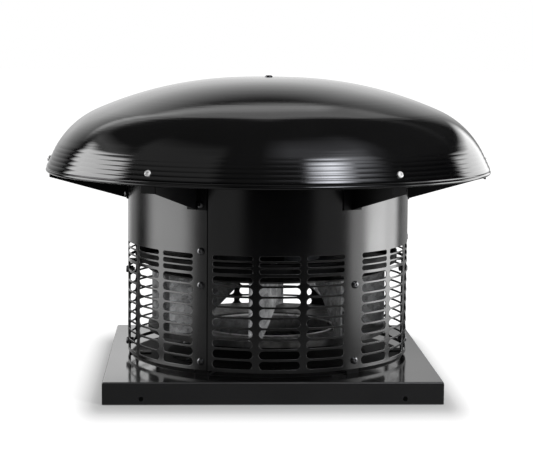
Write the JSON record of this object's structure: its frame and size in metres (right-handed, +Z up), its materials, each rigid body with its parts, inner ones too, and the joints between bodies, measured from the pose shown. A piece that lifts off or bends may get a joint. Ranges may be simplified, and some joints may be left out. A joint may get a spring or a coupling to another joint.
{
  "type": "smoke extractor fan",
  "caption": "Black roof-mounted smoke extractor fan with a spun mushroom cowl, a slotted round guard and a galvanised impeller on a square base.",
  "frame": {"origin": "centre of the base's footprint, level with the lower edge of its skirt", "axes": "+Z up along the impeller's axis, -Y towards the front that the picture shows, +X to the viewer's right"},
  "size_m": [0.608, 0.608, 0.4118],
  "materials": {
    "base_paint": "gloss",
    "guard_paint": "gloss",
    "cowl_paint": "gloss",
    "bracket_paint": "satin",
    "upright_paint": "satin",
    "plate_paint": "satin",
    "galvanised": "satin",
    "black_screws": "satin",
    "bright_screws": "polished",
    "zinc_screws": "satin",
    "rivets": "satin",
    "rubber": "matte",
    "motor_paint": "satin",
    "motor_cover": "satin",
    "motor_plastic": "matte",
    "lamination": "satin",
    "winding": "satin",
    "ground_steel": "polished",
    "hub": "satin"
  },
  "bodies": {
    "housing": {"base_plate": "base_paint", "guard_panel_1": "guard_paint", "guard_panel_2": "guard_paint", "guard_panel_3": "guard_paint", "cowl": "cowl_paint", "cowl_bracket_1": "bracket_paint", "cowl_bracket_2": "bracket_paint", "cowl_bracket_3": "bracket_paint", "cowl_bracket_4": "bracket_paint", "cowl_bracket_5": "bracket_paint", "cowl_bracket_6": "bracket_paint", "upright_1": "upright_paint", "upright_2": "upright_paint", "upright_3": "upright_paint", "upright_4": "upright_paint", "upright_5": "upright_paint", "upright_6": "upright_paint", "motor_plate": "plate_paint", "cowl_bridge": "plate_paint", "inlet_cone": "galvanised", "guard_screws": "black_screws", "bracket_screws": "black_screws", "cowl_top_screw": "black_screws", "cowl_rim_screws": "bright_screws", "lock_nuts": "zinc_screws", "cowl_rim_nuts": "zinc_screws", "motor_plate_screws": "zinc_screws", "motor_mount_bolts": "zinc_screws", "end_shield_screws": "zinc_screws", "deck_rivets": "rivets", "cowl_seal": "rubber", "motor_frame": "motor_paint", "motor_flange": "motor_paint", "motor_end_shield": "motor_paint", "fan_cover": "motor_cover", "terminal_box": "motor_plastic", "terminal_lid": "motor_plastic", "cable_gland": "motor_plastic", "stator_core": "lamination", "stator_winding": "winding", "bearing_lower_outer": "ground_steel", "bearing_upper_outer": "ground_steel"},
    "rotor": {"motor_shaft": "ground_steel", "rotor_core": "lamination", "cooling_fan": "motor_plastic", "bearing_lower_inner": "ground_steel", "bearing_upper_inner": "ground_steel", "impeller_hub": "hub", "impeller_backplate": "galvanised", "impeller_shroud": "galvanised", "impeller_rivets": "rivets", "impeller_bolt": "zinc_screws", "impeller_blade_1": "galvanised", "impeller_blade_2": "galvanised", "impeller_blade_3": "galvanised", "impeller_blade_4": "galvanised", "impeller_blade_5": "galvanised", "impeller_blade_6": "galvanised", "impeller_blade_7": "galvanised", "impeller_blade_8": "galvanised"}
  },
  "joints": [
    {"name": "impeller_spin", "type": "hinge", "parent": "housing", "child": "rotor", "pos_m": [0, 0, 0.16], "axis": [0, 0, 1], "continuous": true}
  ]
}
